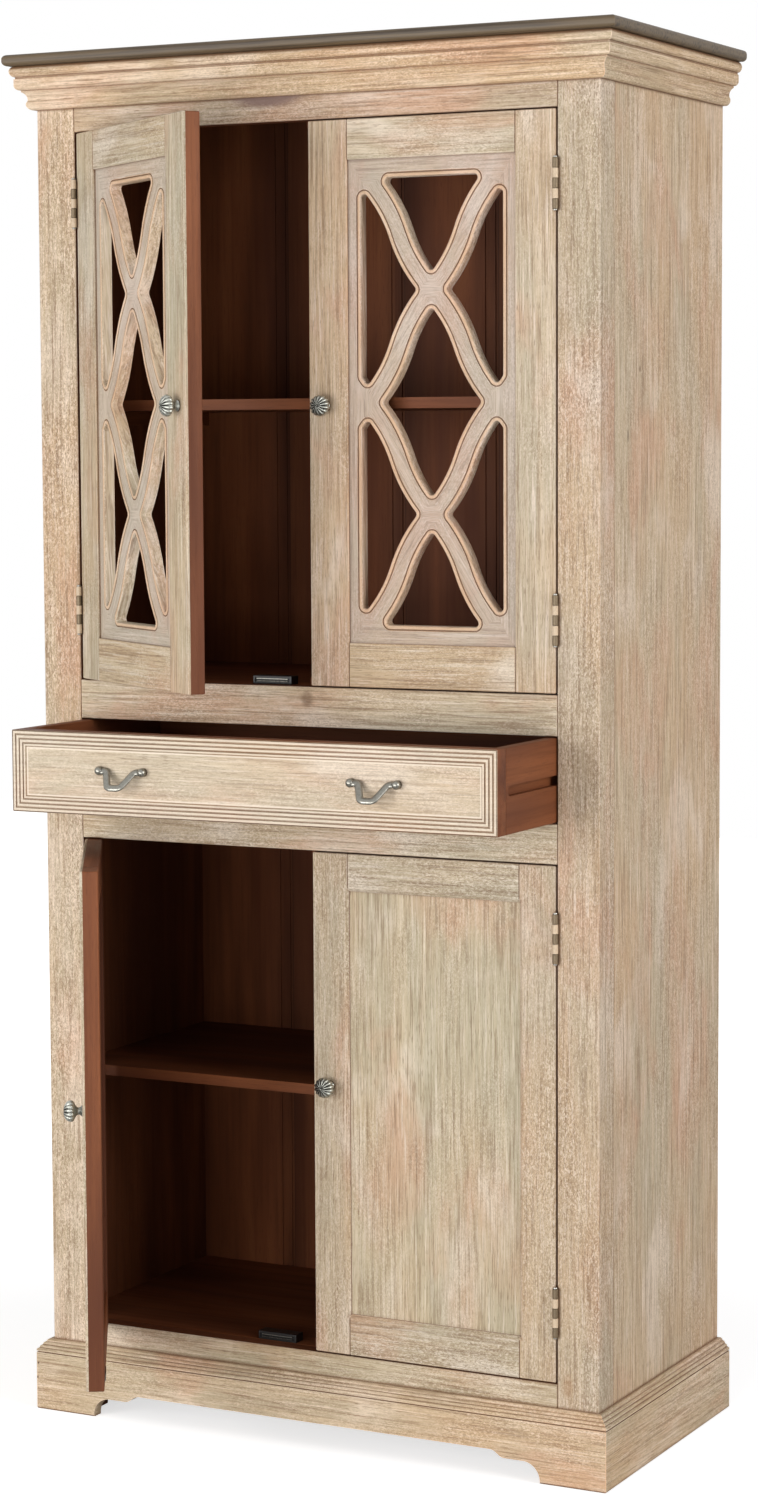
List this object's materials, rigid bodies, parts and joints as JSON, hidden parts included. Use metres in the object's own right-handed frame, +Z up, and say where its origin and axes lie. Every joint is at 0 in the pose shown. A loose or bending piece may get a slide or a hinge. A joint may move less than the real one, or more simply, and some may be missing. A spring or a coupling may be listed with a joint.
{
  "type": "trastero cabinet",
  "caption": "Tall limed-wood cupboard with ogee lattice doors above a wide drawer and panelled doors below, shelves inside, a stepped cornice and a scalloped skirt.",
  "frame": {"origin": "on the floor, in the middle of the width, halfway between the back of the carcass and the free edge of the lower left door at its stored angle", "axes": "+Z up, the front looks along -Y, +X to the viewer's right"},
  "size_m": [0.952, 0.765, 1.98],
  "materials": {
    "limed_wood": "limed and whitewashed open-pored hardwood, rubbed through on its edges, dull wax",
    "stained_wood": "reddish dark-brown stain, satin lacquer",
    "grey_brown_top": "dark grey-brown stain, satin",
    "pewter": "cast metal with an antiqued pewter finish, darker in the hollows",
    "painted_hinge": "steel painted over with the limed finish",
    "bare_steel": "plain steel, dull",
    "black_catch": "black moulded plastic, matt"
  },
  "bodies": {
    "carcass": {"bottom_rail": "limed_wood", "lower_rail": "limed_wood", "middle_rail": "limed_wood", "top_rail": "limed_wood", "right_front_post": "limed_wood", "left_front_post": "limed_wood", "right_side_panel": "limed_wood", "left_side_panel": "limed_wood", "bottom_board": "stained_wood", "lower_shelf": "stained_wood", "drawer_dust_board": "stained_wood", "upper_cupboard_floor": "stained_wood", "upper_shelf": "stained_wood", "back_boards": "stained_wood", "shelf_cleats": "stained_wood", "top_board": "grey_brown_top", "cornice_front": "limed_wood", "cornice_right": "limed_wood", "cornice_left": "limed_wood", "skirt_front": "limed_wood", "skirt_right": "limed_wood", "skirt_left": "limed_wood", "right_drawer_runner": "stained_wood", "left_drawer_runner": "stained_wood", "door_stop_blocks": "stained_wood", "door_catches": "black_catch", "right_hinge_frame_leaves": "painted_hinge", "left_hinge_frame_leaves": "painted_hinge", "hinge_pins": "bare_steel"},
    "drawer": {"drawer_front": "limed_wood", "drawer_right_side": "stained_wood", "drawer_left_side": "stained_wood", "drawer_back": "stained_wood", "drawer_bottom": "stained_wood", "drawer_pulls": "pewter"},
    "upper_left_door": {"upper_left_door_stiles": "limed_wood", "upper_left_door_rails": "limed_wood", "upper_left_door_panel": "limed_wood", "upper_left_door_hinge_leaves": "painted_hinge", "upper_left_door_knob": "pewter", "upper_left_door_strike_plate": "bare_steel"},
    "upper_right_door": {"upper_right_door_stiles": "limed_wood", "upper_right_door_rails": "limed_wood", "upper_right_door_panel": "limed_wood", "upper_right_door_hinge_leaves": "painted_hinge", "upper_right_door_knob": "pewter", "upper_right_door_strike_plate": "bare_steel"},
    "lower_left_door": {"lower_left_door_stiles": "limed_wood", "lower_left_door_rails": "limed_wood", "lower_left_door_panel": "limed_wood", "lower_left_door_hinge_leaves": "painted_hinge", "lower_left_door_knob": "pewter", "lower_left_door_strike_plate": "bare_steel"},
    "lower_right_door": {"lower_right_door_stiles": "limed_wood", "lower_right_door_rails": "limed_wood", "lower_right_door_panel": "limed_wood", "lower_right_door_hinge_leaves": "painted_hinge", "lower_right_door_knob": "pewter", "lower_right_door_strike_plate": "bare_steel"}
  },
  "joints": [
    {"name": "upper_left_door_hinge", "type": "hinge", "parent": "carcass", "child": "upper_left_door", "pos_m": [-0.3768, -0.06241, 1.4775], "axis": [0, 0, -1], "range_deg": [-35.5, 134.5]},
    {"name": "upper_right_door_hinge", "type": "hinge", "parent": "carcass", "child": "upper_right_door", "pos_m": [0.3768, -0.06241, 1.4775], "axis": [0, 0, 1], "range_deg": [0, 170]},
    {"name": "lower_left_door_hinge", "type": "hinge", "parent": "carcass", "child": "lower_left_door", "pos_m": [-0.3768, -0.06241, 0.4965], "axis": [0, 0, -1], "range_deg": [-59, 111]},
    {"name": "lower_right_door_hinge", "type": "hinge", "parent": "carcass", "child": "lower_right_door", "pos_m": [0.3768, -0.06241, 0.4965], "axis": [0, 0, 1], "range_deg": [0, 170]},
    {"name": "drawer_slide", "type": "slide", "parent": "carcass", "child": "drawer", "axis": [0, -1, 0], "range_m": [-0.186, 0.1]}
  ]
}
